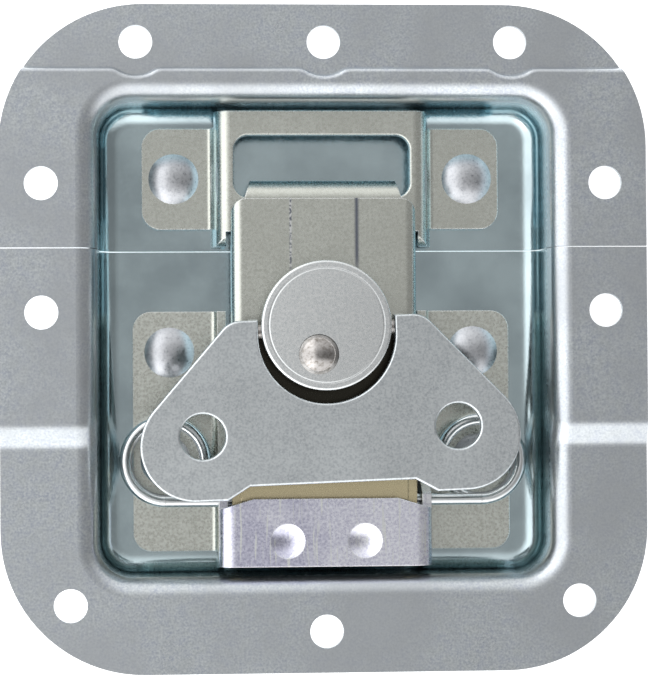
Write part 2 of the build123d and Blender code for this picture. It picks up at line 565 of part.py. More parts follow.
def spring():
    """One wire: a bar under the cover, a coil round each lower rivet, and a leg below each channel wall."""
    coil_path = Pos(COIL_X, COIL_Y, COIL_BOTTOM_Z) * Rot(0, 0, 360 * COIL_TURNS - 90) * Helix(
        COIL_PITCH, COIL_PITCH * COIL_TURNS, COIL_RADIUS, lefthand=True)
    start = Plane(origin=coil_path @ 0, z_dir=coil_path % 0)
    half = sweep(start * Circle(WIRE_RADIUS), path=coil_path, is_frenet=True)
    half += Pos(LEG_X, (LEG_Y + COIL_Y) / 2, COIL_BOTTOM_Z) * Rot(90, 0, 0) * Cylinder(WIRE_RADIUS, LEG_RUN)
    half += Pos(LEG_X, LEG_Y, COIL_BOTTOM_Z) * Sphere(WIRE_RADIUS)
    half += rod(WIRE_RADIUS, CARRIER_INNER - LEG_REACH, LEG_X, LEG_Y, COIL_BOTTOM_Z)
    half += rod(WIRE_RADIUS, 0, COIL_X, BAR_Y, COIL_TOP_Z)
    return mirrored(half)


def main():
    lid_dish, base_dish = dish_halves()
    nodes = {"lid_dish": lid_dish, "base_dish": base_dish, "keeper": keeper(), "base_bracket": bracket()}
    for name, (x, y) in rivet_places().items():
        nodes[name] = Pos(x, y, 0) * rivet()
    nodes["hinge_pin"] = rod(HINGE_RADIUS, -BRACKET_HALF, BRACKET_HALF, HINGE_Y, HINGE_Z)
    nodes["carrier"] = carrier()
    nodes["hook"] = hook()
    nodes["turret"] = turret()
    nodes["crank_rivet"] = crank_rivet()
    nodes["crank_washer"] = crank_washer()
    nodes["handle"] = handle()
    ear_out = NOTCH_RADIUS + PLATE
    nodes["flip_pin"] = skewed(rod(FLIP_PIN_RADIUS, -ear_out, ear_out, FLIP_Y, FLIP_Z))
    nodes["spring"] = spring()
    os.makedirs("parts", exist_ok=True)
    for name, shape in nodes.items():
        export_step(Pos(0, 0, LIFT) * shape, f"parts/{name}.step")


main()
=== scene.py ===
import bpy
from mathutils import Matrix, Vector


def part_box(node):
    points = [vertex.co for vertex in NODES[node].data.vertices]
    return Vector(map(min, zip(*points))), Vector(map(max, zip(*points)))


# Looks of a recessed butterfly latch: zinc-plated steel in its makers' several finishes.
# Metres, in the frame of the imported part: +Z points out of the case wall, +Y towards the lid.

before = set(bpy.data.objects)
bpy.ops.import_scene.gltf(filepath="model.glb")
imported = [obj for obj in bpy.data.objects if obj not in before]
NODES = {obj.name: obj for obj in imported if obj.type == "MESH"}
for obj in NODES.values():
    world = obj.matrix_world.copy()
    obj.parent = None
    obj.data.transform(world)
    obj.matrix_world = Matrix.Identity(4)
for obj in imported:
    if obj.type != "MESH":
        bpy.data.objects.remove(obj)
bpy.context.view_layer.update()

MM = 0.001

# Places read from the part
FLANGE_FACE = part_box("lid_dish")[1].z
FLOOR_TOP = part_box("keeper")[0].z
COVER_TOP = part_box("base_bracket")[1].z
CARRIER_LOW, CARRIER_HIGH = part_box("carrier")
TURRET_LOW, TURRET_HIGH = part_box("turret")
TURRET_CENTRE = (TURRET_LOW + TURRET_HIGH) / 2
TURRET_RADIUS = (TURRET_HIGH.x - TURRET_LOW.x) / 2

# Dish: the pocket's finish, with its painted shade, gives way to the flange's between these heights
POCKET_FINISH_TOP = FLOOR_TOP + 3 * MM
FLANGE_FINISH_FOOT = FLANGE_FACE - 3 * MM

# Strip: how far shearing and plating round its edges
EDGE_ROUND = 0.25 * MM

# Carrier: two lines along it, and how far below its lid end they begin and are full
BEADED_LINE_X = -5.4 * MM
BEADED_LINE_WIDTH = 0.35 * MM
DARK_LINE_X = 5.3 * MM
DARK_LINE_WIDTH = 0.55 * MM
LINES_BEGIN = CARRIER_HIGH.y - 14 * MM
LINES_FULL = CARRIER_HIGH.y - 9 * MM

# Carrier: the tongue lies below these heights, and its golden tint ends between these places along it
TONGUE_TOP = CARRIER_HIGH.z - 0.6 * MM
TONGUE_GOLD_TOP = CARRIER_HIGH.z - 0.9 * MM
TONGUE_END = CARRIER_LOW.y + 12 * MM
TONGUE_GOLD_END = CARRIER_LOW.y + 11 * MM

# Carrier: painted shade round the turret's head, a dark crescent with a ragged edge, kept to the side below
# its middle where the handle overhangs the gap
CRESCENT_SHADE_EDGE = TURRET_RADIUS + 3.4 * MM
CRESCENT_SHADE_FULL = CRESCENT_SHADE_EDGE - 0.8 * MM
CRESCENT_SHADE_RAGGEDNESS = 1 * MM
CRESCENT_SHADE_SIDE_EDGE = TURRET_CENTRE.y + 2 * MM
CRESCENT_SHADE_SIDE_FULL = TURRET_CENTRE.y - 1 * MM

# Bracket: the cover's film begins and is full between these heights, and grows paler from one side to the
# other
COVER_FILM_FOOT = COVER_TOP - 6 * MM
COVER_FILM_FULL = COVER_TOP - 1 * MM
COVER_DRIFT = 12 * MM

# Turret: a ring that the tool cut deeper near the rim
GROOVE_RADIUS = TURRET_RADIUS - 1.2 * MM
GROOVE_WIDTH = 0.5 * MM

# Camera: high over the plate, a little towards its lower left corner
CAMERA_AT = (-25.1 * MM, -8.3 * MM, 415.6 * MM)
CAMERA_TURN = (0.0207, -0.0624, -0.0064)
CAMERA_LENS = 133.2
CAMERA_SENSOR = 36.0
CAMERA_NEAR = 0.01
CAMERA_FAR = 20.0

# Light tent: how bright its roof is, and for each wall the direction to it, where along that direction
# its glow begins and is full, and how much brighter than the roof it is
TENT_ROOF = 0.53
TENT_WALLS = (
    ((-1.0, 0.0, 0.0), 0.05, 0.6, 1.4),
    ((0.0, -1.0, 0.0), 0.2, 0.75, 1.25),
    ((0.0, 1.0, 0.0), 0.05, 0.85, 0.7),
    ((1.0, 0.0, 0.0), 0.05, 0.5, -0.18),
)

# Paper floor below the tent, which glows a little because the paper is lit from beneath
PAPER_SIZE = 6.0
PAPER_DROP = 0.02 * MM
PAPER_GLOW = 0.7

# Finishes, as sRGB. Zinc on the flange, and in the pocket, darker there as painted shade and teal on its
# walls as a painted reflection
ZINC = "#D3D8DA"
ZINC_SHADE = "#B3B9BD"
ZINC_BLUE_SHADE = "#ABB2BF"
ZINC_STALE = "#B0B4B8"
# Pocket zinc, painted darker as the recess's shade
SHADED_POCKET_ZINC = "#B9C9CD"
SHADED_POCKET_ZINC_STALE = "#98A6AB"
# Walls painted teal as a reflection
PAINTED_TEAL_REFLECTION = "#A9C6CD"

# Zinc on strip: clear, painted sky blue on the folds as a reflection, golden on the tongue, with a painted
# highlight along edges, a dark line, and burnished
ZINC_WARM = "#D6D9D2"
ZINC_WARM_SHADE = "#BFC1B9"
# Sides painted sky blue: a painted reflection of the pocket round them
PAINTED_SKY_REFLECTION = "#C3DCE3"
ZINC_GOLD = "#D8CBA6"
# Painted highlight along the sheared edges
PAINTED_EDGE_HIGHLIGHT = "#FAFBFB"
DARK_LINE = "#6F7480"
BURNISHED = "#E6E8E8"

# Zinc under blue passivation
ZINC_VIOLET = "#D6D6E6"
ZINC_VIOLET_SHADE = "#B9B9CE"
ZINC_PEARL = "#EEEFF6"

# Turned and headed pieces and their oil, and the painted shade round the turret
ZINC_TURNED = "#DFE1E1"
ZINC_DULL = "#C2C4C8"
ZINC_DULL_SHADE = "#A0A3A8"
OILED_STEEL = "#A9A6A4"
OIL_FILM = "#77726C"
# Painted shade of the gap round the turret's head
CRESCENT_SHADE = "#36342E"

# Studio
WHITE = "#FFFFFF"
PAPER = "#F3F3F3"


def linear(hex_colour):
    """An sRGB hex colour as linear RGBA."""
    channels = [int(hex_colour[i:i + 2], 16) / 255 for i in (1, 3, 5)]
    return [c / 12.92 if c <= 0.04045 else ((c + 0.055) / 1.055) ** 2.4 for c in channels] + [1.0]


def per_mm(size):
    """Texture scale, in metre coordinates, for a pattern of that size in millimetres."""
    return 1.0 / (size * MM)


def add(tree, kind, inputs=None, **settings):
    """Adds a node with its settings. An input, by name or number, is a value or another node's output."""
    node = tree.nodes.new(kind)
    for name, value in settings.items():
        setattr(node, name, value)
    for name, value in (inputs or {}).items():
        if isinstance(value, bpy.types.NodeSocket):
            tree.links.new(value, node.inputs[name])
        else:
            node.inputs[name].default_value = value
    return node


def start_metal(name):
    """A new material: its tree, its shader set for bare metal, and the socket with each point's place."""
    material = bpy.data.materials.new(name)
    material.use_nodes = True
    tree = material.node_tree
    tree.nodes.clear()
    shader = add(tree, "ShaderNodeBsdfPrincipled", {"Metallic": 1.0})
    add(tree, "ShaderNodeOutputMaterial", {"Surface": shader.outputs["BSDF"]})
    place = add(tree, "ShaderNodeTexCoord").outputs["Object"]
    return material, tree, shader, place


def plate(tree, shader, colour, rough, surface):
    """Gives the metal its plating: the colour, the roughness and the surface's small bumps."""
    tree.links.new(colour, shader.inputs["Base Color"])
    tree.links.new(rough, shader.inputs["Roughness"])
    tree.links.new(surface, shader.inputs["Normal"])


def upward_facing(tree):
    """How far each point faces up: 1 on a level face, 0 on an upright one."""
    facing = add(tree, "ShaderNodeNewGeometry").outputs["True Normal"]
    return add(tree, "ShaderNodeSeparateXYZ", {"Vector": facing}).outputs["Z"]


def highlighted_edge(tree, colour):
    """The colour with a painted highlight along its sheared edges, and a normal that rounds those edges over.
    """
    rounded = add(tree, "ShaderNodeBevel", {"Radius": EDGE_ROUND}).outputs[0]
    flat = add(tree, "ShaderNodeNewGeometry").outputs["True Normal"]
    same = add(tree, "ShaderNodeVectorMath", {
        0: rounded, 1: flat}, operation="DOT_PRODUCT").outputs["Value"]
    edge_glint = add(tree, "ShaderNodeMapRange", {
        "Value": same, "From Min": 0.99, "From Max": 0.93, "To Min": 0.0, "To Max": 0.9}).outputs[0]
    # Painted highlight where the rounded normal turns away from the face
    edge_lit = add(tree, "ShaderNodeMix", {
        0: edge_glint, 6: colour, 7: linear(PAINTED_EDGE_HIGHLIGHT)}, data_type="RGBA").outputs[2]
    return edge_lit, rounded


def flange_colour(tree, place, grain, stale):
    """Matt zinc that glitters grey and blue in turn, with duller patches where hands have been."""
    blotch = add(tree, "ShaderNodeTexNoise", {
        "Vector": place, "Scale": per_mm(1.6), "Detail": 3.0}).outputs["Fac"]
    glitter = add(tree, "ShaderNodeMapRange", {
        "Value": grain, "From Min": 0.3, "From Max": 0.7}).outputs[0]
    tone = add(tree, "ShaderNodeMapRange", {
        "Value": blotch, "From Min": 0.35, "From Max": 0.65}).outputs[0]
    blue = add(tree, "ShaderNodeMix", {
        0: glitter, 6: linear(ZINC_BLUE_SHADE), 7: linear(ZINC)}, data_type="RGBA").outputs[2]
    grey = add(tree, "ShaderNodeMix", {
        0: glitter, 6: linear(ZINC_SHADE), 7: linear(ZINC)}, data_type="RGBA").outputs[2]
    fresh = add(tree, "ShaderNodeMix", {0: tone, 6: blue, 7: grey}, data_type="RGBA").outputs[2]
    return add(tree, "ShaderNodeMix", {
        0: stale, 6: fresh, 7: linear(ZINC_STALE)}, data_type="RGBA").outputs[2]


def pocket_colour(tree, stale):
    """Zinc burnished on the floor and painted darker than the flange as the pocket's shade, with its walls
    painted teal as a reflection.
    """
    level = add(tree, "ShaderNodeMapRange", {
        "Value": upward_facing(tree), "From Min": 0.1, "From Max": 0.75}).outputs[0]
    floor = add(tree, "ShaderNodeMix", {
        0: stale, 6: linear(SHADED_POCKET_ZINC), 7: linear(SHADED_POCKET_ZINC_STALE)}, data_type="RGBA").outputs[2]
    # Walls painted teal as a reflection; the floor painted darker as shade
    return add(tree, "ShaderNodeMix", {
        0: level, 6: linear(PAINTED_TEAL_REFLECTION), 7: floor}, data_type="RGBA").outputs[2]


def pressed_sheet():
    """Cold-rolled steel sheet, deep-drawn, then bright zinc-plated. The flange keeps a fine matt grain. The
    pocket is burnished, so there it mirrors more, and faint draw lines run down its walls. The pocket is
    painted darker as shade, and its walls teal as a painted reflection."""
    material, tree, shader, place = start_metal("zinc_plated_pressed_sheet")
    height = add(tree, "ShaderNodeSeparateXYZ", {"Vector": place}).outputs["Z"]
    raised = add(tree, "ShaderNodeMapRange", {
        "Value": height, "From Min": POCKET_FINISH_TOP, "From Max": FLANGE_FINISH_FOOT}).outputs[0]
    # Plating grain is a few hundredths of a millimetre, drawn here at a third of one so that it shows
    grain = add(tree, "ShaderNodeTexNoise", {
        "Vector": place, "Scale": per_mm(0.36), "Detail": 2.0, "Roughness": 0.6}).outputs["Fac"]
    cloud = add(tree, "ShaderNodeTexNoise", {
        "Vector": place, "Scale": per_mm(16.0), "Detail": 3.0}).outputs["Fac"]
    upright = add(tree, "ShaderNodeMapping", {"Vector": place, "Scale": (1.0, 1.0, 0.04)}).outputs[0]
    draw_lines = add(tree, "ShaderNodeTexNoise", {
        "Vector": upright, "Scale": per_mm(0.8), "Detail": 2.0}).outputs["Fac"]
    stale = add(tree, "ShaderNodeMapRange", {
        "Value": cloud, "From Min": 0.4, "From Max": 0.62, "To Min": 0.0, "To Max": 0.7}).outputs[0]
    flange = flange_colour(tree, place, grain, stale)
    pocket = pocket_colour(tree, stale)
    colour = add(tree, "ShaderNodeMix", {0: raised, 6: pocket, 7: flange}, data_type="RGBA").outputs[2]
    matt = add(tree, "ShaderNodeMapRange", {
        "Value": cloud, "From Min": 0.3, "From Max": 0.7, "To Min": 0.27, "To Max": 0.33}).outputs[0]
    burnish = add(tree, "ShaderNodeMapRange", {
        "Value": draw_lines, "From Min": 0.3, "From Max": 0.7, "To Min": 0.13, "To Max": 0.22}).outputs[0]
    rough = add(tree, "ShaderNodeMix", {0: raised, 2: burnish, 3: matt}, data_type="FLOAT").outputs[0]
    fine = add(tree, "ShaderNodeBump", {
        "Strength": 0.4, "Distance": 0.03 * MM, "Height": grain}).outputs[0]
    drawn = add(tree, "ShaderNodeBump", {
        "Strength": 0.25, "Distance": 0.03 * MM, "Height": draw_lines, "Normal": fine}).outputs[0]
    plate(tree, shader, colour, rough, drawn)
    return material


def strip_metal(name):
    """Steel strip, stamped and folded, zinc-plated under a thin clear passivation. It looks warm grey and
    satin, with a fine speckle and very faint roll lines along the strip; its folded sides are painted sky
    blue as a reflection, and its edges carry a painted highlight. Gives what start_metal gives and the
    plating's colour with that painted light, so that lines can be laid over it."""
    material, tree, shader, place = start_metal(name)
    level = add(tree, "ShaderNodeMapRange", {
        "Value": upward_facing(tree), "From Min": 0.3, "From Max": 0.85}).outputs[0]
    along = add(tree, "ShaderNodeMapping", {"Vector": place, "Scale": (1.0, 0.06, 1.0)}).outputs[0]
    roll_lines = add(tree, "ShaderNodeTexNoise", {
        "Vector": along, "Scale": per_mm(0.5), "Detail": 3.0}).outputs["Fac"]
    # Plating grain, drawn as coarse as on the pressed sheet so that it shows
    grain = add(tree, "ShaderNodeTexNoise", {
        "Vector": place, "Scale": per_mm(0.4), "Detail": 3.0}).outputs["Fac"]
    cloud = add(tree, "ShaderNodeTexNoise", {
        "Vector": place, "Scale": per_mm(9.0), "Detail": 2.0}).outputs["Fac"]
    speckle = add(tree, "ShaderNodeMapRange", {
        "Value": grain, "From Min": 0.3, "From Max": 0.6}).outputs[0]
    drift = add(tree, "ShaderNodeMix", {
        0: cloud, 6: linear(ZINC_WARM_SHADE), 7: linear(ZINC_WARM)}, data_type="RGBA").outputs[2]
    warm = add(tree, "ShaderNodeMix", {
        0: speckle, 6: linear(ZINC_WARM_SHADE), 7: drift}, data_type="RGBA").outputs[2]
    # Folded sides painted sky blue, a painted reflection
    plain = add(tree, "ShaderNodeMix", {0: level, 6: linear(PAINTED_SKY_REFLECTION), 7: warm}, data_type="RGBA").outputs[2]
    colour, rounded = highlighted_edge(tree, plain)
    rough = add(tree, "ShaderNodeMapRange", {
        "Value": grain, "From Min": 0.3, "From Max": 0.7, "To Min": 0.24, "To Max": 0.3}).outputs[0]
    rolled = add(tree, "ShaderNodeBump", {
        "Strength": 0.06, "Distance": 0.02 * MM, "Height": roll_lines, "Normal": rounded}).outputs[0]
    fine = add(tree, "ShaderNodeBump", {
        "Strength": 0.12, "Distance": 0.02 * MM, "Height": grain, "Normal": rolled}).outputs[0]
    plate(tree, shader, colour, rough, fine)
    return material, tree, shader, place, colour


def stamped_strip():
    """The stamped strip of the keeper and hook, with no marks on it."""
    return strip_metal("zinc_plated_stamped_strip")[0]


def line_strength(tree, place, at, width):
    """How strongly a line along Y marks a point: 1 in its middle, 0 beside it and below where it begins."""
    axes = add(tree, "ShaderNodeSeparateXYZ", {"Vector": place}).outputs
    beside = add(tree, "ShaderNodeMath", {0: axes["X"], 1: at}, operation="SUBTRACT").outputs[0]
    away = add(tree, "ShaderNodeMath", {0: beside}, operation="ABSOLUTE").outputs[0]
    across = add(tree, "ShaderNodeMapRange", {
        "Value": away, "From Min": 0.0, "From Max": width, "To Min": 1.0, "To Max": 0.0},
        interpolation_type="SMOOTHSTEP").outputs[0]
    along = add(tree, "ShaderNodeMapRange", {
        "Value": axes["Y"], "From Min": LINES_BEGIN, "From Max": LINES_FULL},
        interpolation_type="SMOOTHSTEP").outputs[0]
    return add(tree, "ShaderNodeMath", {0: across, 1: along}, operation="MULTIPLY").outputs[0]


def lined(tree, place, beads, plain):
    """Two lines along the strip over the plain colour: a beaded line, pale and dark by turns, left of the
    middle, and a smooth dark line right of it."""
    beaded_line = line_strength(tree, place, BEADED_LINE_X, BEADED_LINE_WIDTH)
    dark_line = line_strength(tree, place, DARK_LINE_X, DARK_LINE_WIDTH)
    beaded = add(tree, "ShaderNodeMapRange", {
        "Value": beads, "From Min": 0.45, "From Max": 0.55}).outputs[0]
    marks = add(tree, "ShaderNodeMix", {
        0: beaded, 6: linear(DARK_LINE), 7: linear(BURNISHED)}, data_type="RGBA").outputs[2]
    beaded_lined = add(tree, "ShaderNodeMix", {0: beaded_line, 6: plain, 7: marks}, data_type="RGBA").outputs[2]
    return add(tree, "ShaderNodeMix", {
        0: dark_line, 6: beaded_lined, 7: linear(DARK_LINE)}, data_type="RGBA").outputs[2]


def golden_tongue(tree, place, plain):
    """The plain colour, with the lower tongue tinted golden."""
    axes = add(tree, "ShaderNodeSeparateXYZ", {"Vector": place}).outputs
    lowered = add(tree, "ShaderNodeMapRange", {
        "Value": axes["Z"], "From Min": TONGUE_TOP, "From Max": TONGUE_GOLD_TOP}).outputs[0]
    tongue = add(tree, "ShaderNodeMapRange", {
        "Value": axes["Y"], "From Min": TONGUE_END, "From Max": TONGUE_GOLD_END}).outputs[0]
    gilded_mask = add(tree, "ShaderNodeMath", {0: lowered, 1: tongue}, operation="MULTIPLY").outputs[0]
    return add(tree, "ShaderNodeMix", {
        0: gilded_mask, 6: plain, 7: linear(ZINC_GOLD)}, data_type="RGBA").outputs[2]


def painted_crescent_shade(tree, place, beads, plain):
    """The plain colour, with painted shade: a dark crescent round the turret, below its middle, where the
    handle overhangs the gap.
    """
    centre = (TURRET_CENTRE.x, TURRET_CENTRE.y, CARRIER_HIGH.z)
    away = add(tree, "ShaderNodeVectorMath", {
        0: place, 1: centre}, operation="DISTANCE").outputs["Value"]
    ragged = add(tree, "ShaderNodeMath", {0: beads, 1: CRESCENT_SHADE_RAGGEDNESS}, operation="MULTIPLY").outputs[0]
    shade_reach = add(tree, "ShaderNodeMath", {0: away, 1: ragged}, operation="ADD").outputs[0]
    near = add(tree, "ShaderNodeMapRange", {
        "Value": shade_reach, "From Min": CRESCENT_SHADE_EDGE, "From Max": CRESCENT_SHADE_FULL}).outputs[0]
    along = add(tree, "ShaderNodeSeparateXYZ", {"Vector": place}).outputs["Y"]
    below_middle = add(tree, "ShaderNodeMapRange", {
        "Value": along, "From Min": CRESCENT_SHADE_SIDE_EDGE, "From Max": CRESCENT_SHADE_SIDE_FULL}).outputs[0]
    crescent_shade_mask = add(tree, "ShaderNodeMath", {0: near, 1: below_middle}, operation="MULTIPLY").outputs[0]
    # Painted shade: a dark crescent where the handle's edge overhangs the carrier
    return add(tree, "ShaderNodeMix", {
        0: crescent_shade_mask, 6: plain, 7: linear(CRESCENT_SHADE)}, data_type="RGBA").outputs[2]


def carrier_strip():
    """The stamped strip of the carrier, with two lines along it, its lower tongue tinted golden, and painted
    shade round the turret.
    """
    material, tree, shader, place, plain = strip_metal("zinc_plated_lined_strip")
    beads = add(tree, "ShaderNodeTexNoise", {
        "Vector": place, "Scale": per_mm(0.5), "Detail": 2.0}).outputs["Fac"]
    lined_colour = lined(tree, place, beads, plain)
    golden = golden_tongue(tree, place, lined_colour)
    tree.links.new(painted_crescent_shade(tree, place, beads, golden), shader.inputs["Base Color"])
    return material


def cover_film(tree, place, patches, glitter):
    """Blue passivation, thicker in patches, and made paler towards the right. It glitters violet where thin
    and pearl where thick, and fine slanting scratches show burnished zinc."""
    across = add(tree, "ShaderNodeSeparateXYZ", {"Vector": place}).outputs["X"]
    rightward = add(tree, "ShaderNodeMapRange", {
        "Value": across, "From Min": -COVER_DRIFT, "From Max": COVER_DRIFT,
        "To Min": -0.15, "To Max": 0.25}).outputs[0]
    drifted = add(tree, "ShaderNodeMath", {0: patches, 1: rightward}, operation="ADD").outputs[0]
    pooled = add(tree, "ShaderNodeMapRange", {
        "Value": drifted, "From Min": 0.35, "From Max": 0.65}).outputs[0]
    violet = add(tree, "ShaderNodeMix", {
        0: glitter, 6: linear(ZINC_VIOLET_SHADE), 7: linear(ZINC_VIOLET)}, data_type="RGBA").outputs[2]
    pearl = add(tree, "ShaderNodeMix", {
        0: glitter, 6: linear(ZINC_VIOLET), 7: linear(ZINC_PEARL)}, data_type="RGBA").outputs[2]
    film = add(tree, "ShaderNodeMix", {0: pooled, 6: violet, 7: pearl}, data_type="RGBA").outputs[2]
    slant = add(tree, "ShaderNodeMapping", {
        "Vector": place, "Rotation": (0.0, 0.0, 0.6), "Scale": (1.0, 0.06, 1.0)}).outputs[0]
    strokes = add(tree, "ShaderNodeTexNoise", {
        "Vector": slant, "Scale": per_mm(0.5), "Detail": 1.0}).outputs["Fac"]
    scratches = add(tree, "ShaderNodeMapRange", {
        "Value": strokes, "From Min": 0.61, "From Max": 0.7}).outputs[0]
    return add(tree, "ShaderNodeMix", {
        0: scratches, 6: film, 7: linear(BURNISHED)}, data_type="RGBA").outputs[2]


def passivated_strip():
    """Stamped strip under a blue passivation that has pooled on the raised cover, and left the feet bare and
    warm grey."""
    material, tree, shader, place = start_metal("zinc_plated_blue_passivated_strip")
    height = add(tree, "ShaderNodeSeparateXYZ", {"Vector": place}).outputs["Z"]
    raised = add(tree, "ShaderNodeMapRange", {
        "Value": height, "From Min": COVER_FILM_FOOT, "From Max": COVER_FILM_FULL}).outputs[0]
    patches = add(tree, "ShaderNodeTexNoise", {
        "Vector": place, "Scale": per_mm(6.0), "Detail": 3.0}).outputs["Fac"]
    # Plating grain, drawn as coarse as on the pressed sheet so that it shows
    grain = add(tree, "ShaderNodeTexNoise", {
        "Vector": place, "Scale": per_mm(0.45), "Detail": 3.0, "Roughness": 0.65}).outputs["Fac"]
    glitter = add(tree, "ShaderNodeMapRange", {
        "Value": grain, "From Min": 0.38, "From Max": 0.62}).outputs[0]
    film = cover_film(tree, place, patches, glitter)
    bare = add(tree, "ShaderNodeMix", {
        0: glitter, 6: linear(ZINC_WARM_SHADE), 7: linear(ZINC_WARM)}, data_type="RGBA").outputs[2]
    plain = add(tree, "ShaderNodeMix", {0: raised, 6: bare, 7: film}, data_type="RGBA").outputs[2]
    colour, rounded = highlighted_edge(tree, plain)
    rough = add(tree, "ShaderNodeMapRange", {
        "Value": grain, "From Min": 0.3, "From Max": 0.7, "To Min": 0.24, "To Max": 0.34}).outputs[0]
    uneven = add(tree, "ShaderNodeBump", {
        "Strength": 0.12, "Distance": 0.04 * MM, "Height": patches, "Normal": rounded}).outputs[0]
    fine = add(tree, "ShaderNodeBump", {
        "Strength": 0.2, "Distance": 0.02 * MM, "Height": grain, "Normal": uneven}).outputs[0]
    plate(tree, shader, colour, rough, fine)
    return material


def tumbled_plate():
    """Blanked steel plate, tumbled before plating. Its face is smooth and even grey, its edges are rolled
    over, and it has a few small dings from the barrel."""
    material, tree, shader, place = start_metal("zinc_plated_tumbled_plate")
    # Plating grain, drawn as coarse as on the pressed sheet so that it shows
    grain = add(tree, "ShaderNodeTexNoise", {
        "Vector": place, "Scale": per_mm(0.35), "Detail": 3.0}).outputs["Fac"]
    cloud = add(tree, "ShaderNodeTexNoise", {
        "Vector": place, "Scale": per_mm(12.0), "Detail": 3.0}).outputs["Fac"]
    cells = add(tree, "ShaderNodeTexVoronoi", {"Vector": place, "Scale": per_mm(3.0)}).outputs["Distance"]
    dings = add(tree, "ShaderNodeMapRange", {
        "Value": cells, "From Min": 0.03, "From Max": 0.09}).outputs[0]
    sparkle = add(tree, "ShaderNodeMapRange", {
        "Value": grain, "From Min": 0.25, "From Max": 0.6}).outputs[0]
    tint = add(tree, "ShaderNodeMix", {
        0: sparkle, 6: linear(ZINC_SHADE), 7: linear(ZINC)}, data_type="RGBA").outputs[2]
    colour = add(tree, "ShaderNodeMix", {
        0: dings, 6: linear(ZINC_SHADE), 7: tint}, data_type="RGBA").outputs[2]
    rough = add(tree, "ShaderNodeMapRange", {
        "Value": cloud, "From Min": 0.3, "From Max": 0.7, "To Min": 0.24, "To Max": 0.32}).outputs[0]
    fine = add(tree, "ShaderNodeBump", {
        "Strength": 0.25, "Distance": 0.02 * MM, "Height": grain}).outputs[0]
    pitted = add(tree, "ShaderNodeBump", {
        "Strength": 0.3, "Distance": 0.02 * MM, "Height": dings, "Normal": fine}).outputs[0]
    plate(tree, shader, colour, rough, pitted)
    return material


def tool_marks(tree, place):
    """The turned head's surface: faint rings all over, and one deeper ring near its rim."""
    about = add(tree, "ShaderNodeMapping", {
        "Vector": place, "Location": (-TURRET_CENTRE.x, -TURRET_CENTRE.y, 0.0),
        "Scale": (1.0, 1.0, 0.0)}).outputs[0]
    # Rings 0.8 mm apart, coarser than a real feed of 0.1 mm, so that they show
    rings = add(tree, "ShaderNodeTexWave", {
        "Vector": about, "Scale": per_mm(0.8) / 10, "Distortion": 0.6, "Detail": 2.0},
        wave_type="RINGS", rings_direction="Z").outputs["Fac"]
    radius = add(tree, "ShaderNodeVectorMath", {0: about}, operation="LENGTH").outputs["Value"]
    aside = add(tree, "ShaderNodeMath", {0: radius, 1: GROOVE_RADIUS}, operation="SUBTRACT").outputs[0]
    off_groove = add(tree, "ShaderNodeMath", {0: aside}, operation="ABSOLUTE").outputs[0]
    groove = add(tree, "ShaderNodeMapRange", {
        "Value": off_groove, "From Min": 0.0, "From Max": GROOVE_WIDTH / 2},
        interpolation_type="SMOOTHSTEP").outputs[0]
    grooved = add(tree, "ShaderNodeBump", {
        "Strength": 0.7, "Distance": 0.06 * MM, "Height": groove}).outputs[0]
    return add(tree, "ShaderNodeBump", {
        "Strength": 0.12, "Distance": 0.01 * MM, "Height": rings, "Normal": grooved}).outputs[0]


def turned_steel():
    """Free-cutting steel bar, turned, then zinc-plated. The head shows bright specks of plating over the
    marks of the tool."""
    material, tree, shader, place = start_metal("zinc_plated_turned_steel")
    specks = add(tree, "ShaderNodeTexNoise", {
        "Vector": place, "Scale": per_mm(0.4), "Detail": 4.0, "Roughness": 0.7}).outputs["Fac"]
    speckled = add(tree, "ShaderNodeMapRange", {
        "Value": specks, "From Min": 0.3, "From Max": 0.6}).outputs[0]
    bright = add(tree, "ShaderNodeMapRange", {
        "Value": specks, "From Min": 0.66, "From Max": 0.72}).outputs[0]
    matt = add(tree, "ShaderNodeMix", {
        0: speckled, 6: linear(ZINC), 7: linear(ZINC_TURNED)}, data_type="RGBA").outputs[2]
    colour = add(tree, "ShaderNodeMix", {
        0: bright, 6: matt, 7: linear(BURNISHED)}, data_type="RGBA").outputs[2]
    rough = add(tree, "ShaderNodeMapRange", {
        "Value": specks, "From Min": 0.3, "From Max": 0.7, "To Min": 0.22, "To Max": 0.34}).outputs[0]
    fine = add(tree, "ShaderNodeBump", {
        "Strength": 0.35, "Distance": 0.02 * MM, "Height": specks,
        "Normal": tool_marks(tree, place)}).outputs[0]
    plate(tree, shader, colour, rough, fine)
    return material


def headed_steel(name, clean, film, rough_low, rough_high, speck):
    """Mild steel wire, cold-headed into a rivet or pin. The struck dome is smooth, with small duller specks
    where its plating is thin or oil has dried on it."""
    material, tree, shader, place = start_metal(name)
    specks = add(tree, "ShaderNodeTexNoise", {
        "Vector": place, "Scale": per_mm(speck), "Detail": 4.0, "Roughness": 0.7}).outputs["Fac"]
    thin = add(tree, "ShaderNodeMapRange", {
        "Value": specks, "From Min": 0.3, "From Max": 0.55}).outputs[0]
    colour = add(tree, "ShaderNodeMix", {
        0: thin, 6: linear(film), 7: linear(clean)}, data_type="RGBA").outputs[2]
    rough = add(tree, "ShaderNodeMapRange", {
        "Value": specks, "From Min": 0.3, "From Max": 0.7,
        "To Min": rough_low, "To Max": rough_high}).outputs[0]
    uneven = add(tree, "ShaderNodeBump", {
        "Strength": 0.25, "Distance": 0.02 * MM, "Height": specks}).outputs[0]
    plate(tree, shader, colour, rough, uneven)
    return material


def plated_rivet():
    """Rivet under dull zinc, which blurs what its dome mirrors."""
    return headed_steel("zinc_plated_rivet", ZINC_DULL, ZINC_DULL_SHADE, 0.26, 0.38, 0.45)


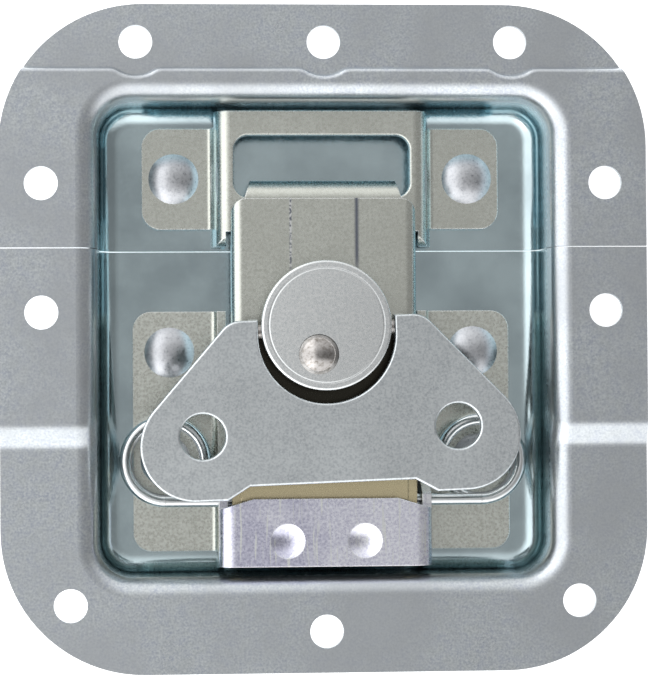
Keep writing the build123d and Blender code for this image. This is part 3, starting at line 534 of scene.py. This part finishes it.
def bright_pin():
    """Pin left as headed and oiled. It mirrors sharply and a little darkly."""
    return headed_steel("bright_steel_pin", OILED_STEEL, OIL_FILM, 0.07, 0.14, 0.6)


def drawn_wire():
    """Hard-drawn spring wire, zinc-plated. It is smooth and bright, with faint die lines along its run."""
    material, tree, shader, place = start_metal("zinc_plated_spring_wire")
    lines = add(tree, "ShaderNodeMapping", {"Vector": place, "Scale": (0.3, 0.3, 1.0)}).outputs[0]
    die_lines = add(tree, "ShaderNodeTexNoise", {
        "Vector": lines, "Scale": per_mm(0.35), "Detail": 3.0}).outputs["Fac"]
    colour = add(tree, "ShaderNodeMix", {
        0: die_lines, 6: linear(ZINC), 7: linear(BURNISHED)}, data_type="RGBA").outputs[2]
    rough = add(tree, "ShaderNodeMapRange", {
        "Value": die_lines, "From Min": 0.3, "From Max": 0.7, "To Min": 0.14, "To Max": 0.24}).outputs[0]
    drawn = add(tree, "ShaderNodeBump", {
        "Strength": 0.25, "Distance": 0.02 * MM, "Height": die_lines}).outputs[0]
    plate(tree, shader, colour, rough, drawn)
    return material


def dress(nodes, material):
    """Gives CAD nodes one material."""
    for name in nodes:
        slots = NODES[name].data.materials
        slots.clear()
        slots.append(material)


def dress_part():
    """Every piece of the latch in its maker's finish."""
    dress(["lid_dish", "base_dish"], pressed_sheet())
    dress(["keeper", "hook"], stamped_strip())
    dress(["carrier"], carrier_strip())
    dress(["base_bracket"], passivated_strip())
    dress(["handle"], tumbled_plate())
    dress(["turret"], turned_steel())
    dress([name for name in NODES if name.endswith(("rivet_left", "rivet_right"))], plated_rivet())
    dress(["crank_rivet", "crank_washer", "hinge_pin", "flip_pin"], bright_pin())
    dress(["spring"], drawn_wire())


def light_tent():
    """A tent of white cloth. Its walls glow by how near a direction lies to each."""
    tent = bpy.data.worlds.new("light_tent")
    tent.use_nodes = True
    tree = tent.node_tree
    tree.nodes.clear()
    direction = add(tree, "ShaderNodeTexCoord").outputs["Generated"]
    level = TENT_ROOF
    for towards, begins, full, glow in TENT_WALLS:
        lean = add(tree, "ShaderNodeVectorMath", {
            0: direction, 1: towards}, operation="DOT_PRODUCT").outputs["Value"]
        wall = add(tree, "ShaderNodeMapRange", {
            "Value": lean, "From Min": begins, "From Max": full, "To Min": 0.0, "To Max": glow},
            interpolation_type="SMOOTHSTEP").outputs[0]
        level = add(tree, "ShaderNodeMath", {0: level, 1: wall}, operation="ADD").outputs[0]
    cloth = add(tree, "ShaderNodeBackground", {"Color": linear(WHITE), "Strength": level})
    add(tree, "ShaderNodeOutputWorld", {"Surface": cloth.outputs[0]})
    bpy.context.scene.world = tent


def paper_floor():
    """A plain pale floor of matt paper, just below the part."""
    bpy.ops.mesh.primitive_plane_add(size=PAPER_SIZE, location=(0, 0, -PAPER_DROP))
    floor = bpy.context.object
    floor.name = "floor"
    paper = bpy.data.materials.new("matt_white_paper")
    paper.use_nodes = True
    sheet = paper.node_tree.nodes["Principled BSDF"].inputs
    sheet["Base Color"].default_value = linear(PAPER)
    sheet["Roughness"].default_value = 0.9
    sheet["Emission Color"].default_value = linear(WHITE)
    sheet["Emission Strength"].default_value = PAPER_GLOW
    floor.data.materials.append(paper)


def camera():
    """Looks almost straight down on the plate."""
    data = bpy.data.cameras.new("camera")
    data.sensor_width = CAMERA_SENSOR
    data.lens = CAMERA_LENS
    data.clip_start, data.clip_end = CAMERA_NEAR, CAMERA_FAR
    eye = bpy.data.objects.new("camera", data)
    eye.location = CAMERA_AT
    eye.rotation_euler = CAMERA_TURN
    bpy.context.scene.collection.objects.link(eye)
    bpy.context.scene.camera = eye
    bpy.context.scene.view_settings.view_transform = "Standard"


dress_part()
light_tent()
paper_floor()
camera()
